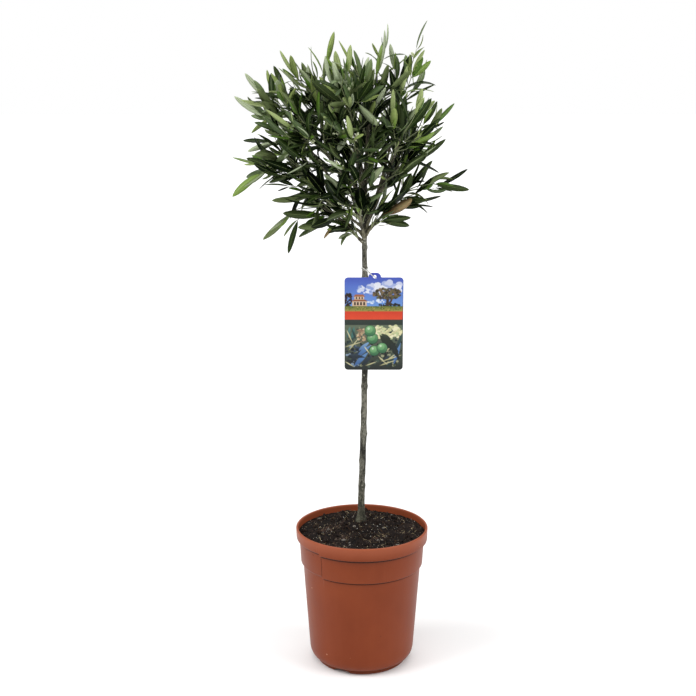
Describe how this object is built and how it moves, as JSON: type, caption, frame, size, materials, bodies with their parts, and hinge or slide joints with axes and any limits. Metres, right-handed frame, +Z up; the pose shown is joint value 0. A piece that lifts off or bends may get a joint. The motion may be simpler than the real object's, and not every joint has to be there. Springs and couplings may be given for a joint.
{
  "type": "potted olive tree",
  "caption": "Young olive grown as a small standard: round leafy crown on a bare slender stem, in a tapered plastic nursery pot of soil, with a picture label.",
  "frame": {"origin": "centre of the pot's flat underside, on the floor", "axes": "+Z up along the stem, -Y is the front that the label faces, +X to the right seen from the front"},
  "size_m": [0.3218, 0.3068, 0.9077],
  "materials": {
    "pot_plastic": "moulded, low sheen",
    "soil": "rough, crumbly",
    "bark": "smooth grey-brown bark",
    "foliage": "leathery, slightly glossy leaves",
    "label_card": "printed card, satin",
    "label_string": "white elastic"
  },
  "bodies": {
    "root": {"pot": "pot_plastic", "soil": "soil", "trunk": "bark", "bough_top": "bark", "bough_top_left": "bark", "bough_front_top": "bark", "bough_back_top": "bark", "bough_upper_left": "bark", "bough_left": "bark", "bough_low_left": "bark", "bough_front_under": "bark", "bough_top_right": "bark", "bough_right": "bark", "bough_low_right": "bark", "bough_front": "bark", "bough_front_left": "bark", "bough_front_right": "bark", "bough_under": "bark", "bough_under_right": "bark", "bough_front_low": "bark", "bough_back": "bark", "bough_back_left": "bark", "bough_back_right": "bark", "bough_back_low": "bark", "mass_top": "foliage", "mass_top_left": "foliage", "mass_top_right": "foliage", "mass_upper_left": "foliage", "mass_left": "foliage", "mass_low_left": "foliage", "mass_low_right": "foliage", "mass_right": "foliage", "mass_front_top": "foliage", "mass_front": "foliage", "mass_front_left": "foliage", "mass_front_right": "foliage", "mass_front_low": "foliage", "mass_front_under": "foliage", "mass_under": "foliage", "mass_under_right": "foliage", "mass_back_top": "foliage", "mass_back_left": "foliage", "mass_back_right": "foliage", "mass_back": "foliage", "mass_back_low": "foliage", "label_card": "label_card", "label_string": "label_string"}
  },
  "joints": []
}
